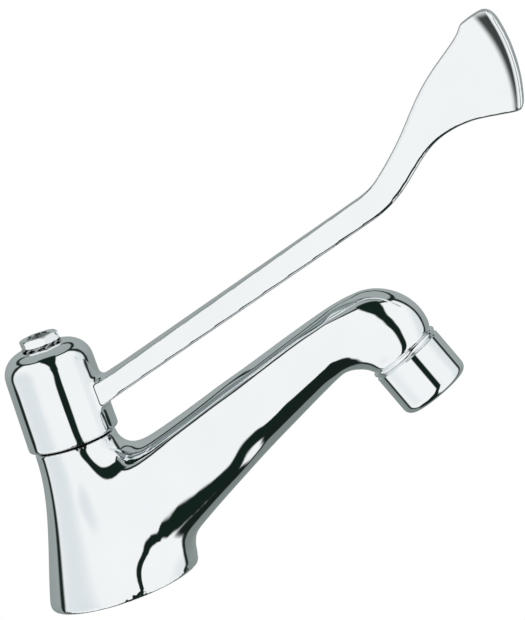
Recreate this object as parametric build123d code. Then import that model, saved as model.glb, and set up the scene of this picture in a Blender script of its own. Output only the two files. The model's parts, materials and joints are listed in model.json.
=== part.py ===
from build123d import *
from math import cos, pi, radians, sin, sqrt
import os

# Pillar tap with a long elbow lever.
# Millimetres. The origin is on the tap's axis at the level of the worktop, +Z is up,
# and the spout and the closed lever both point along +X.

# Sizes shared by several pieces
overrun = 1.0
running_clearance = 0.05
seat_clearance = 0.02
loose_clearance = 0.25
edge_round = 0.4
groove_depth_share = 0.5

# Column: the round foot of the casting and its neck
base_radius = 25.9
base_bevel = 0.9
column_height = 51.7
neck_radius = 14.0
neck_edge_round = 0.5
# Each pair is the share of the foot's spread beyond the neck, and the share of the height.
column_flare_shares = ((0.555, 0.348), (0.135, 0.696), (0.010, 0.890))

# Spout
outlet_reach = 112.9
outlet_height = 49.5
outlet_tilt = 22.0
crown_height = 71.5
nose_radius = 11.9
spout_wall = 3.0
blend_radius = 6.5
root_reach_share = 0.333
station_spacing = 6.0
section_points = 16
fine_steps = 24
# Each station has the top point, the point below it and the half width. Reaches are shares of
# the outlet's reach, heights are shares of the crown's, and widths are shares of the nose.
# At the root, the lower reaches are shares of the foot's radius, heights are shares of the
# column's, and widths are shares of the mean of the foot's and the neck's radii, so that the
# root stays with the column.
spout_root_shares = (
    (0.018, 0.831, 0.785, 0.083, 0.670),
    (0.106, 0.816, 1.068, 0.185, 0.690),
    (0.205, 0.877, 1.399, 0.301, 0.675),
)
spout_station_shares = (
    (0.398, 0.738, 0.498, 0.384, 1.09),
    (0.549, 0.822, 0.638, 0.508, 1.02),
    (0.674, 0.892, 0.753, 0.608, 0.97),
    (0.775, 0.946, 0.804, 0.650, 0.95),
    (0.876, 0.990, 0.836, 0.667, 0.95),
    (0.972, 0.998, 0.866, 0.660, 0.98),
    (1.046, 0.936, 0.887, 0.649, 0.99),
    (1.087, 0.849, 0.898, 0.639, 1.00),
)
waterway_start_top = 38.8
waterway_start_bottom = 26.0
waterway_start_half_width = 6.2
# Wall left around the waterway at the spout's stations beyond its root, as shares of the wall.
waterway_wall_shares = (1.6, 1.3, 1.1, 1.0, 1.0, 1.0, 1.0, 1.0)

# Threaded outlet spigot, M22 x 1, and the aerator's housing
spigot_radius = 11.0
spigot_bore_radius = 8.8
spigot_length = 7.2
housing_radius = 12.3
housing_length = 18.0
housing_gap = 0.3
housing_seat_radius = 10.3
housing_lip_radius = 9.3
housing_lip_height = 1.1
housing_bottom_round = 3.0
bead_radius = 0.85
bead_groove = 0.35

# Aerator insert
insert_radius = 10.2
aerator_seal_height = 1.5
aerator_seal_inner_radius = 8.9
strainer_flange = 0.9
strainer_wall = 0.8
strainer_base_radius = 7.9
strainer_top_radius = 6.2
strainer_height = 3.4
strainer_hole_radius = 0.55
strainer_ring_counts = (6, 12, 18)
strainer_ring_shares = (0.26, 0.52, 0.78)
cup_wall = 1.1
plate_height = 1.4
plate_hole_radius = 0.5
plate_hole_count = 20
plate_ring_share = 0.8
plate_gap = 0.1
grid_height = 1.6
grid_bar = 0.7
grid_ring_shares = (0.30, 0.53, 0.76)
grid_spoke_count = 12

# Threaded tail, G 1/2, and what holds the tap to the worktop
tail_radius = 10.48
tail_root_radius = 9.35
tail_pitch = 1.814
tail_crest = 0.45
tail_bore_radius = 7.0
tail_length = 50.0
tail_plain_length = 9.0
tail_socket_depth = 14.0
tail_chamfer = 0.8
tail_seal_height = 1.5
worktop_space = 28.0
base_gasket_rim_width = 3.3
base_gasket_inner_radius = 14.5
base_gasket_height = 1.8
deck_washer_radius = 20.0
deck_washer_height = 3.0
deck_plate_height = 1.6
back_nut_across_flats = 30.0
back_nut_height = 8.0
back_nut_flange_radius = 17.5
back_nut_flange_height = 1.6
back_nut_chamfer = 1.0

# Valve seat and ceramic discs
seat_height = 24.0
seat_port_radius = 6.0
chamber_radius = 9.9
disc_radius = 8.1
fixed_disc_height = 3.0
moving_disc_height = 3.4
seat_seal_height = 2.2
seat_seal_outer_radius = 8.9
port_inner_radius = 2.2
port_outer_radius = 6.3
port_angle = 78.0

# Bonnet of the headpart
bonnet_thread_length = 11.0
bonnet_skirt_radius = 9.4
bonnet_cavity_radius = 8.3
bonnet_skirt_lift = 0.8
bonnet_flange_radius = 12.2
bonnet_flange_height = 1.2
bonnet_hex_across_flats = 17.0
bonnet_hex_height = 4.6
bonnet_stem_radius = 7.4
bonnet_stem_height = 6.4
bonnet_seal_height = 0.8
bonnet_seal_inner_radius = 10.7
bonnet_window_width = 9.0
stop_angle = 48.0
stop_turn = 135.0

# Spindle
spindle_radius = 5.0
foot_core_radius = 6.0
foot_height = 4.4
foot_tab_depth = 1.5
foot_tab_width = 3.0
foot_tab_reach = 2.4
lug_angle = 40.0
slide_ring_height = 0.6
o_ring_section = 1.5
o_ring_lower_share = 0.30
o_ring_upper_share = 0.72
clip_height = 0.8
clip_outer_radius = 6.4
clip_groove_radius = 4.4
clip_opening_angle = 50.0
clip_lift = 0.15
spline_tip_radius = 4.75
spline_root_radius = 4.3
spline_count = 20
spline_root_share = 0.36
spline_tip_share = 0.16
spline_length = 11.0
stud_radius = 4.0
stud_recess = 1.3

# Lever hub, which is the cap over the headpart
hub_gap = 0.6
hub_height = 32.6
hub_rim_radius = 15.5
hub_shoulder_start_radius = 15.1
hub_shoulder_round = 7.8
hub_rim_round = 0.8
hub_cavity_radius = 12.9
hub_top_wall = 4.0
hub_boss_radius = 8.2
stud_hole_clearance = 0.2

# Lever arm and paddle
lever_reach = 177.3
lever_rise = 95.0
arm_root_width = 16.4
arm_bend_width = 5.6
paddle_thickness = 4.0
hub_blend_radius = 1.8
end_arc_radius = 54.0
end_arc_height_share = 0.811
lip_peak = 3.4
lip_hollow_radius = 4.0
lip_crest_radius = 0.9
lip_hollow_angle = 42.0
# Reaches are shares of the lever's reach, heights are shares of its rise above the seam.
arm_top_root_shares = (0.0, 0.124)
arm_top_bend_shares = (0.633, 0.504)
paddle_top_shares = ((0.674, 0.534), (0.703, 0.576), (0.751, 0.663), (0.840, 0.841), (0.918, 0.963))
paddle_tip_shares = (0.963, 1.0)
paddle_end_top_shares = (0.993, 0.950)
paddle_end_bottom_shares = (0.990, 0.662)
paddle_heel_shares = (0.972, 0.634)
paddle_under_shares = ((0.932, 0.643), (0.894, 0.649), (0.856, 0.642), (0.811, 0.612), (0.768, 0.551),
                       (0.728, 0.487), (0.695, 0.449))
arm_under_bend_shares = (0.661, 0.424)
arm_under_root_shares = (0.0, 0.047)
paddle_flat_share = 0.80
paddle_tip_run = (1.0, 0.18)
paddle_heel_run = (-1.0, 0.12)

# Nut and toothed washer on top of the hub
nut_across_flats = 12.0
nut_height = 2.7
nut_turn = -4.0
nut_bore_chamfer = 0.35
nut_corner_chamfer = 0.7
washer_height = 1.0
washer_ring_height = 0.5
washer_ring_radius = 5.4
washer_outer_radius = 6.7
washer_tooth_count = 12
washer_tooth_share = 0.6
washer_tooth_twist = 22.0

# Levels worked out from the sizes
seam_height = column_height + hub_gap
hub_top = seam_height + hub_height
fixed_disc_level = seat_height + seat_seal_height
moving_disc_level = fixed_disc_level + fixed_disc_height + seat_clearance
foot_level = moving_disc_level + moving_disc_height
foot_top = foot_level + foot_height
cavity_roof = foot_top + slide_ring_height + seat_clearance
flange_level = column_height + bonnet_seal_height
hex_level = flange_level + bonnet_flange_height
stem_level = hex_level + bonnet_hex_height
stem_top = stem_level + bonnet_stem_height
cavity_ceiling = hub_top - hub_top_wall
spline_top = cavity_ceiling - loose_clearance
spline_bottom = spline_top - spline_length
washer_level = hub_top
nut_level = washer_level + washer_height
nut_top = nut_level + nut_height
stud_top = nut_top - stud_recess
back_nut_level = -(worktop_space + deck_washer_height + deck_plate_height)


def ring(outer_radius, inner_radius, low, height):
    """A flat ring on the tap's axis that starts at the height low."""
    disc = Cylinder(outer_radius, height, align=(Align.CENTER, Align.CENTER, Align.MIN))
    hole = Cylinder(inner_radius, height + 2 * overrun, align=(Align.CENTER, Align.CENTER, Align.MIN))
    return Pos(0, 0, low) * (disc - Pos(0, 0, -overrun) * hole)


def rod(radius, low, height):
    """A plain cylinder on the tap's axis that starts at the height low."""
    return Pos(0, 0, low) * Cylinder(radius, height, align=(Align.CENTER, Align.CENTER, Align.MIN))


def turned(lines):
    """A turned piece from the closed outline of its half section, radius along X, height along Z."""
    return revolve(Plane.XZ * make_face(Curve() + lines), Axis.Z)


def turned_from_points(points):
    """A turned piece whose half section is a closed polygon of (radius, height) points."""
    return revolve(Plane.XZ * make_face(Polyline(*points, close=True)), Axis.Z)


def hexagon(across_flats, low, height):
    """A hexagonal prism on the tap's axis."""
    outline = RegularPolygon(across_flats / 2, 6, major_radius=False)
    return Pos(0, 0, low) * extrude(outline, height)


def sector(radius, angle, low, height, turn):
    """A wedge of a cylinder, centred on the direction turn, in degrees from +X."""
    half = radians(angle / 2)
    reach = radius / cos(half) if angle < 90 else 2 * radius
    outline = Polyline((0, 0), (reach * cos(half), -reach * sin(half)),
                       (reach * cos(half), reach * sin(half)), close=True)
    wedge = Pos(0, 0, low) * extrude(make_face(outline), height)
    return Rot(0, 0, turn) * (wedge & rod(radius, low, height))


def in_outlet(piece):
    """Moves a piece drawn along +Z from the spout's end face into its place at the outlet."""
    return outlet_plane().location * piece


def outlet_plane():
    """The spout's end face: its centre, with the flow direction as normal."""
    tilt = radians(outlet_tilt)
    flow = (sin(tilt), 0, -cos(tilt))
    return Plane(origin=(outlet_reach, 0, outlet_height), x_dir=(0, 1, 0), z_dir=flow)


# Body casting

def column_solid():
    spread = base_radius - neck_radius
    flare = [(-(neck_radius + share * spread), rise * column_height) for share, rise in column_flare_shares]
    foot = (-base_radius, base_bevel)
    rim = column_height - neck_edge_round
    inner = neck_radius - neck_edge_round
    slant = neck_edge_round * sin(radians(45))
    outline = [
        Spline(foot, *flare, (-neck_radius, rim)),
        ThreePointArc((-neck_radius, rim), (-inner - slant, rim + slant), (-inner, column_height)),
        Line((-inner, column_height), (0, column_height)),
        Line((0, column_height), (0, 0)),
        Line((0, 0), (-base_radius + base_bevel * groove_depth_share, 0)),
        Line((-base_radius + base_bevel * groove_depth_share, 0), foot),
    ]
    return turned(outline)


def outlet_station(radius, depth):
    """Reach and height of the top and under points and half width, for a circle at the outlet."""
    plane = outlet_plane().offset(depth)
    across = plane.z_dir.cross(Vector(0, 1, 0)) * radius
    top = plane.origin + across
    under = plane.origin - across
    return [top.X, top.Z, under.X, under.Z, radius]


def smooth_stations(rows):
    """Stations at even distances along the middle line of the given ones, by a smooth curve."""
    rows = [[*rows[0]], *rows, [*rows[-1]]]
    rows[0] = [2 * a - b for a, b in zip(rows[1], rows[2])]
    rows[-1] = [2 * a - b for a, b in zip(rows[-2], rows[-3])]
    middles = [((row[0] + row[2]) / 2, (row[1] + row[3]) / 2) for row in rows]
    steps = [sqrt(sqrt((b[0] - a[0]) ** 2 + (b[1] - a[1]) ** 2)) for a, b in zip(middles, middles[1:])]
    fine = []
    for i in range(1, len(rows) - 2):
        before, span, after = steps[i - 1], steps[i], steps[i + 1]
        for k in range(fine_steps):
            t = k / fine_steps
            row = []
            for p0, p1, p2, p3 in zip(rows[i - 1], rows[i], rows[i + 1], rows[i + 2]):
                leave = (p1 - p0) / before - (p2 - p0) / (before + span) + (p2 - p1) / span
                arrive = (p2 - p1) / span - (p3 - p1) / (span + after) + (p3 - p2) / after
                leave *= span
                arrive *= span
                value = p1 + leave * t + (3 * (p2 - p1) - 2 * leave - arrive) * t ** 2
                value += (2 * (p1 - p2) + leave + arrive) * t ** 3
                row.append(value)
            fine.append(row)
    fine.append(rows[-2])
    lengths = [0]
    for a, b in zip(fine, fine[1:]):
        along = (a[0] + a[2] - b[0] - b[2]) / 2
        upward = (a[1] + a[3] - b[1] - b[3]) / 2
        lengths.append(lengths[-1] + sqrt(along ** 2 + upward ** 2))
    count = round(lengths[-1] / station_spacing)
    even = []
    for k in range(count):
        distance = lengths[-1] * k / count
        i = max(i for i, length in enumerate(lengths) if length <= distance)
        share = (distance - lengths[i]) / (lengths[i + 1] - lengths[i])
        even.append([a + (b - a) * share for a, b in zip(fine[i], fine[i + 1])])
    even.append(fine[-1])
    return even


def station_face(row):
    """An oval between a station's top and under points, started at the under point."""
    top_x, top_z, under_x, under_z, half_width = row
    points = []
    for i in range(section_points):
        angle = 2 * pi * i / section_points
        rise = (1 - cos(angle)) / 2
        reach = under_x + (top_x - under_x) * rise
        height = under_z + (top_z - under_z) * rise
        points.append((reach, half_width * sin(angle), height))
    return make_face(Spline(*points, periodic=True))


def root_stations():
    width = (base_radius + neck_radius) / 2
    return [[a * outlet_reach, b * column_height, c * base_radius, d * column_height, e * width]
            for a, b, c, d, e in spout_root_shares]


def outer_stations():
    return [[a * outlet_reach, b * crown_height, c * outlet_reach, d * crown_height, e * nose_radius]
            for a, b, c, d, e in spout_station_shares]


def inset(row, wall):
    """A station made smaller all round by the wall."""
    top_x, top_z, under_x, under_z, half_width = row
    height = sqrt((top_x - under_x) ** 2 + (top_z - under_z) ** 2)
    dx = (top_x - under_x) / height * wall
    dz = (top_z - under_z) / height * wall
    return [top_x - dx, top_z - dz, under_x + dx, under_z + dz, half_width - wall]


def spout_lofts():
    """The spout up to its crown, and the bend from the crown down to the outlet."""
    outlet = outlet_station(nose_radius, 0)
    rows = smooth_stations([*root_stations(), *outer_stations(), outlet])
    crown = rows.index(max(rows, key=lambda row: row[1]))
    arm = loft([station_face(row) for row in rows[:crown + 1]])
    bend = loft([station_face(row) for row in rows[crown:]])
    return arm, bend


def waterway():
    """The hollow of the spout, from the middle of the valve chamber out through the spigot."""
    start = [0, waterway_start_top, 0, waterway_start_bottom, waterway_start_half_width]
    walls = [share * spout_wall for share in waterway_wall_shares]
    middle = [inset(row, wall) for row, wall in zip(outer_stations(), walls)]
    depths = (0, spigot_length / 2, spigot_length + overrun)
    mouth = [outlet_station(spigot_bore_radius, depth) for depth in depths]
    return loft([station_face(row) for row in smooth_stations([start, *middle, *mouth])])


def body_casting():
    arm, bend = spout_lofts()
    outside = column_solid() + arm
    seam_edges = [edge for edge in outside.edges()
                  if edge.geom_type not in (GeomType.CIRCLE, GeomType.LINE)
                  and 0 < edge.center().X < outlet_reach * root_reach_share
                  and 2 * base_bevel < edge.center().Z < column_height - base_bevel]
    outside = fillet(seam_edges, blend_radius)
    outside += bend
    outside += in_outlet(rod(spigot_radius, -edge_round, spigot_length + edge_round))

    chamber = rod(chamber_radius, seat_height, column_height - seat_height + overrun)
    thread_room = rod(tail_radius, column_height - bonnet_thread_length, bonnet_thread_length + overrun)
    inlet = rod(seat_port_radius, tail_socket_depth, seat_height - tail_socket_depth + overrun)
    socket = rod(tail_radius + running_clearance, -overrun, tail_socket_depth + tail_seal_height + overrun)
    gasket_room = ring(base_radius - base_gasket_rim_width, base_gasket_inner_radius, -overrun,
                       base_gasket_height + overrun)
    return outside - waterway() - chamber - thread_room - inlet - socket - gasket_room


# Aerator, drawn along the flow from the spout's end face

def aerator_housing():
    top = housing_gap
    bead_low = top + 2 * bead_radius
    end = top + housing_length
    inner_step = spigot_length + aerator_seal_height * groove_depth_share
    lip = end - housing_lip_height
    thread_bore = spigot_radius + running_clearance
    bead_inner = housing_radius - bead_radius
    groove = (housing_radius - bead_groove, bead_low + bead_groove)
    outline = [
        Line((thread_bore, top), (bead_inner, top)),
        ThreePointArc((bead_inner, top), (housing_radius, top + bead_radius), (bead_inner, bead_low)),
        Line((bead_inner, bead_low), groove),
        Line(groove, (housing_radius, bead_low + 2 * bead_groove)),
        Line((housing_radius, bead_low + 2 * bead_groove), (housing_radius, end)),
        Line((housing_radius, end), (housing_lip_radius, end)),
        Line((housing_lip_radius, end), (housing_lip_radius, lip)),
        Line((housing_lip_radius, lip), (housing_seat_radius, lip)),
        Line((housing_seat_radius, lip), (housing_seat_radius, inner_step)),
        Line((housing_seat_radius, inner_step), (thread_bore, inner_step)),
        Line((thread_bore, inner_step), (thread_bore, top)),
    ]
    shell = turned(outline)
    rim = [edge for edge in shell.edges().filter_by(GeomType.CIRCLE)
           if abs(edge.center().Z - end) < edge_round and edge.radius > housing_lip_radius + edge_round]
    limit = housing_radius - housing_lip_radius - edge_round / 2
    return in_outlet(fillet(rim, min(housing_bottom_round, limit)))


def aerator_seal():
    return in_outlet(ring(insert_radius, aerator_seal_inner_radius, spigot_length + seat_clearance,
                          aerator_seal_height))


def strainer_level():
    return spigot_length + 2 * seat_clearance + aerator_seal_height


def aerator_strainer():
    level = strainer_level()
    crown = level - strainer_height
    points = [
        (0, crown), (strainer_top_radius, crown), (strainer_base_radius, level),
        (insert_radius, level), (insert_radius, level + strainer_flange),
        (strainer_base_radius - strainer_wall, level + strainer_flange),
        (strainer_top_radius - strainer_wall, crown + strainer_wall), (0, crown + strainer_wall),
    ]
    dome = turned_from_points(points)
    hole = rod(strainer_hole_radius, crown - overrun, strainer_wall + 2 * overrun)
    holes = [hole]
    for count, share in zip(strainer_ring_counts, strainer_ring_shares):
        radius = share * strainer_top_radius
        holes += [Rot(0, 0, 360 * i / count) * Pos(radius, 0, 0) * hole for i in range(count)]
    return in_outlet(dome - holes)


def cup_level():
    return strainer_level() + strainer_flange + seat_clearance


def cup_bottom():
    return housing_gap + housing_length - housing_lip_height - seat_clearance


def aerator_cup():
    """The jet regulator: a plastic cup with a ring and spoke grid at the outlet."""
    level = cup_level()
    bottom = cup_bottom()
    inner = insert_radius - cup_wall
    cup = ring(insert_radius, inner, level, bottom - level)
    grid_low = bottom - grid_height
    for share in grid_ring_shares:
        cup += ring(inner * share + grid_bar / 2, inner * share - grid_bar / 2, grid_low, grid_height)
    inner_ring = inner * grid_ring_shares[0]
    for i in range(grid_spoke_count):
        spoke_start = inner_ring if i % 2 else 0
        spoke = Box(inner - spoke_start + cup_wall / 2, grid_bar, grid_height,
                    align=(Align.MIN, Align.CENTER, Align.MIN))
        cup += Rot(0, 0, 360 * i / grid_spoke_count) * Pos(spoke_start, 0, grid_low) * spoke
    return in_outlet(cup)


def aerator_jet_plate():
    inner = insert_radius - cup_wall - plate_gap
    level = cup_level() + seat_clearance
    plate = rod(inner, level, plate_height)
    hole = rod(plate_hole_radius, level - overrun, plate_height + 2 * overrun)
    holes = [Rot(0, 0, 360 * i / plate_hole_count) * Pos(inner * plate_ring_share, 0, 0) * hole
             for i in range(plate_hole_count)]
    return in_outlet(plate - holes)


# Tail and fixing parts

def inlet_tail():
    """The threaded tail. Its thread is drawn as rings, and the free end is left plain."""
    top = tail_socket_depth
    bottom = -tail_length
    thread_bottom = bottom + tail_plain_length
    turns = int((top - tail_chamfer - thread_bottom) / tail_pitch)
    slope = (tail_pitch - 2 * tail_crest) / 2
    narrow = tail_radius - tail_chamfer
    points = [(tail_bore_radius, bottom), (narrow, bottom), (tail_radius, bottom + tail_chamfer)]
    for i in range(turns):
        start = thread_bottom + i * tail_pitch
        points.append((tail_radius, start))
        points.append((tail_root_radius, start + slope))
        points.append((tail_root_radius, start + slope + tail_crest))
        points.append((tail_radius, start + 2 * slope + tail_crest))
    points += [(tail_radius, top - tail_chamfer), (narrow, top), (tail_bore_radius, top)]
    return turned_from_points(points)


def tail_seal():
    return ring(tail_radius - tail_chamfer, tail_bore_radius, tail_socket_depth + seat_clearance,
                tail_seal_height - 2 * seat_clearance)


def base_gasket():
    return ring(base_radius - base_gasket_rim_width - seat_clearance,
                base_gasket_inner_radius + seat_clearance, 0, base_gasket_height - seat_clearance)


def deck_washer():
    return ring(deck_washer_radius, tail_radius + loose_clearance, -(worktop_space + deck_washer_height),
                deck_washer_height)


def deck_plate():
    return ring(deck_washer_radius, tail_radius + loose_clearance, back_nut_level, deck_plate_height)


def back_nut():
    flange = rod(back_nut_flange_radius, back_nut_level - back_nut_flange_height, back_nut_flange_height)
    hexagon_low = back_nut_level - back_nut_height
    body = hexagon(back_nut_across_flats, hexagon_low, back_nut_height)
    corner = back_nut_across_flats / sqrt(3)
    trim = turned_from_points([
        (0, hexagon_low), (corner - back_nut_chamfer, hexagon_low),
        (corner, hexagon_low + back_nut_chamfer), (corner, back_nut_level), (0, back_nut_level)])
    bore = rod(tail_radius + running_clearance, hexagon_low - overrun, back_nut_height + 2 * overrun)
    return (body & trim) + flange - bore


# Headpart

def sealing_disc(low, height, turn):
    """A ceramic disc with two kidney-shaped ports opposite each other."""
    disc = rod(disc_radius, low, height)
    for side in (0, 180):
        port = sector(port_outer_radius, port_angle, low - overrun, height + 2 * overrun, turn + side)
        disc -= port - rod(port_inner_radius, low - 2 * overrun, height + 4 * overrun)
    return disc


def fixed_disc():
    return sealing_disc(fixed_disc_level, fixed_disc_height, 0)


def moving_disc():
    disc = sealing_disc(moving_disc_level, moving_disc_height, 90)
    for side in (0, 180):
        pocket = Box(foot_tab_reach + overrun + 3 * running_clearance,
                     foot_tab_width + 2 * running_clearance, foot_tab_depth + overrun,
                     align=(Align.MAX, Align.CENTER, Align.MIN))
        low = foot_level - foot_tab_depth - running_clearance
        disc -= Rot(0, 0, side) * Pos(disc_radius + overrun, 0, low) * pocket
    return disc


def seat_seal():
    return ring(seat_seal_outer_radius, seat_port_radius + loose_clearance, seat_height,
                seat_seal_height - seat_clearance)


def headpart_bonnet():
    skirt_low = seat_height + bonnet_skirt_lift
    thread_low = column_height - bonnet_thread_length
    thread_radius = tail_radius - running_clearance
    points = [
        (bonnet_cavity_radius, fixed_disc_level), (bonnet_skirt_radius, fixed_disc_level),
        (bonnet_skirt_radius, thread_low), (thread_radius, thread_low + running_clearance),
        (thread_radius, flange_level), (bonnet_flange_radius, flange_level),
        (bonnet_flange_radius, hex_level), (bonnet_stem_radius, hex_level),
        (bonnet_stem_radius, stem_top - edge_round), (bonnet_stem_radius - edge_round, stem_top),
        (spindle_radius + running_clearance, stem_top), (spindle_radius + running_clearance, cavity_roof),
        (bonnet_cavity_radius, cavity_roof),
    ]
    bonnet = turned_from_points(points)
    skirt_end = ring(bonnet_skirt_radius, seat_seal_outer_radius + seat_clearance, skirt_low,
                     fixed_disc_level - skirt_low)
    nut = hexagon(bonnet_hex_across_flats, hex_level, bonnet_hex_height)
    bonnet += skirt_end
    bonnet += nut - rod(bonnet_stem_radius - edge_round, hex_level - overrun,
                        bonnet_hex_height + 2 * overrun)
    window_low = foot_level + running_clearance
    window = Box(4 * bonnet_skirt_radius, bonnet_window_width, foot_height,
                 align=(Align.CENTER, Align.CENTER, Align.MIN))
    bonnet -= Pos(0, 0, window_low) * window - rod(foot_core_radius, window_low - overrun,
                                                   foot_height + 2 * overrun)
    for side in (0, 180):
        stop = sector(bonnet_cavity_radius + edge_round, stop_angle, foot_level + running_clearance,
                      foot_height - running_clearance, stop_turn + side)
        bonnet += stop - rod(foot_core_radius + loose_clearance, foot_level - overrun,
                             foot_height + 4 * overrun)
    return bonnet


def seal_groove_levels():
    span = stem_top - flange_level
    return [flange_level + share * span for share in (o_ring_lower_share, o_ring_upper_share)]


def splined_rod(tip_radius, root_radius, low, height):
    """A splined shaft with straight-sided teeth."""
    step = 2 * pi / spline_count
    points = []
    for i in range(spline_count):
        for radius, share in ((root_radius, -spline_root_share), (tip_radius, -spline_tip_share),
                              (tip_radius, spline_tip_share), (root_radius, spline_root_share)):
            angle = (i + share) * step
            points.append((radius * cos(angle), radius * sin(angle)))
    return Pos(0, 0, low) * extrude(make_face(Polyline(*points, close=True)), height)


def spindle():
    shaft = rod(spindle_radius, foot_top - overrun, spline_bottom - foot_top + overrun)
    shaft += rod(foot_core_radius, foot_level, foot_height)
    for side in (0, 180):
        shaft += sector(disc_radius - running_clearance, lug_angle, foot_level, foot_height, side)
        tab = Box(foot_tab_reach, foot_tab_width, foot_tab_depth + edge_round,
                  align=(Align.MAX, Align.CENTER, Align.MIN))
        place = Pos(disc_radius - 2 * running_clearance, 0, foot_level - foot_tab_depth)
        shaft += Rot(0, 0, side) * place * tab
    for level in seal_groove_levels():
        groove_radius = spindle_radius - running_clearance - o_ring_section
        width = o_ring_section + 2 * running_clearance
        shaft -= ring(spindle_radius + overrun, groove_radius, level - width / 2, width)
    shaft -= ring(spindle_radius + overrun, clip_groove_radius, clip_level() - seat_clearance,
                  clip_height + 2 * seat_clearance)
    shaft += splined_rod(spline_tip_radius, spline_root_radius, spline_bottom - edge_round,
                         spline_length + edge_round)
    shaft += rod(stud_radius, spline_top - edge_round, stud_top - spline_top + edge_round)
    tip = [edge for edge in shaft.edges().filter_by(GeomType.CIRCLE)
           if abs(edge.center().Z - stud_top) < seat_clearance]
    return chamfer(tip, edge_round)


def o_ring(level):
    section = o_ring_section / 2
    centre_radius = spindle_radius - section
    return Pos(0, 0, level) * Torus(centre_radius, section - seat_clearance)


def slide_ring():
    return ring(disc_radius, spindle_radius + loose_clearance, foot_top + seat_clearance / 2,
                slide_ring_height)


def clip_level():
    return stem_top + clip_lift


def spindle_clip():
    clip = ring(clip_outer_radius, clip_groove_radius + seat_clearance, clip_level(), clip_height)
    return clip - sector(2 * clip_outer_radius, clip_opening_angle, clip_level() - overrun,
                         clip_height + 2 * overrun, 180)


def bonnet_seal():
    return ring(bonnet_flange_radius - edge_round, bonnet_seal_inner_radius, column_height + seat_clearance,
                bonnet_seal_height - 2 * seat_clearance)


# Lever

def hub_solid():
    """The cap that the lever grows from, hollow to fit over the headpart."""
    arc_centre_radius = hub_shoulder_start_radius - hub_shoulder_round
    arc_centre_height = hub_top - hub_shoulder_round
    half_turn = radians(45)
    middle = (arc_centre_radius + hub_shoulder_round * cos(half_turn),
              arc_centre_height + hub_shoulder_round * sin(half_turn))
    outline = [
        Line((0, seam_height), (hub_rim_radius, seam_height)),
        Line((hub_rim_radius, seam_height), (hub_shoulder_start_radius, arc_centre_height)),
        ThreePointArc((hub_shoulder_start_radius, arc_centre_height), middle, (arc_centre_radius, hub_top)),
        Line((arc_centre_radius, hub_top), (0, hub_top)),
        Line((0, hub_top), (0, seam_height)),
    ]
    hub = turned(outline)
    rim = [edge for edge in hub.edges().filter_by(GeomType.CIRCLE)
           if abs(edge.center().Z - seam_height) < seat_clearance]
    return fillet(rim, hub_rim_round)


def lever_point(shares):
    reach_share, rise_share = shares
    return (reach_share * lever_reach, seam_height + rise_share * lever_rise)


def end_arc_centre():
    return (lever_reach - end_arc_radius, seam_height + end_arc_height_share * lever_rise)


def end_arc_point(height):
    centre_x, centre_z = end_arc_centre()
    return (centre_x + sqrt(end_arc_radius ** 2 - (height - centre_z) ** 2), height)


def arm_outline():
    """Side view of arm and paddle, as a face in the plane of the spout."""
    top_root = lever_point(arm_top_root_shares)
    top_bend = lever_point(arm_top_bend_shares)
    tip = lever_point(paddle_tip_shares)
    end_top = end_arc_point(lever_point(paddle_end_top_shares)[1])
    end_bottom = end_arc_point(lever_point(paddle_end_bottom_shares)[1])
    heel = lever_point(paddle_heel_shares)
    under_bend = lever_point(arm_under_bend_shares)
    under_root = lever_point(arm_under_root_shares)
    top_run = (Vector(*top_bend) - Vector(*top_root)).normalized()
    under_run = (Vector(*under_root) - Vector(*under_bend)).normalized()
    tip_run = Vector(*paddle_tip_run)
    end_middle = end_arc_point((end_top[1] + end_bottom[1]) / 2)
    heel_run = Vector(*paddle_heel_run)
    down = Vector(0, -1)
    centre_x, centre_z = end_arc_centre()
    end_top_run = Vector(end_top[1] - centre_z, -(end_top[0] - centre_x)).normalized()
    end_bottom_run = Vector(end_bottom[1] - centre_z, -(end_bottom[0] - centre_x)).normalized()
    upper = Spline(top_bend, *[lever_point(s) for s in paddle_top_shares], tip, tangents=(top_run, tip_run))
    corner = Spline(tip, end_top, tangents=(tip_run, end_top_run))
    end = ThreePointArc(end_top, end_middle, end_bottom)
    lower_corner = Spline(end_bottom, heel, tangents=(end_bottom_run, heel_run))
    lower = Spline(heel, *[lever_point(s) for s in paddle_under_shares], under_bend,
                   tangents=(heel_run, under_run))
    return make_face(Curve() + [
        Line(top_root, top_bend), upper, corner, end, lower_corner, lower,
        Line(under_bend, under_root), Line(under_root, top_root)])


def arm_solid():
    """Arm and paddle: the side view, as thick as the plan view allows."""
    half = arm_root_width
    side = extrude(Plane.XZ * arm_outline(), half, both=True)
    bend_x = arm_top_bend_shares[0] * lever_reach
    flat_x = paddle_flat_share * lever_reach
    root = arm_root_width / 2
    bend = arm_bend_width / 2
    paddle = paddle_thickness / 2
    taper = Vector(bend_x, bend - root).normalized()
    near = [Line((0, root), (bend_x, bend)),
            Spline((bend_x, bend), (flat_x, paddle), tangents=(taper, (1, 0))),
            Line((flat_x, paddle), (lever_reach + overrun, paddle)),
            Line((lever_reach + overrun, paddle), (lever_reach + overrun, -paddle)),
            Line((lever_reach + overrun, -paddle), (flat_x, -paddle)),
            Spline((flat_x, -paddle), (bend_x, -bend), tangents=((-1, 0), Vector(-bend_x, bend - root))),
            Line((bend_x, -bend), (0, -root)),
            Line((0, -root), (0, root))]
    plan = Pos(0, 0, seam_height) * extrude(make_face(Curve() + near), lever_rise + overrun)
    return side & plan


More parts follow.
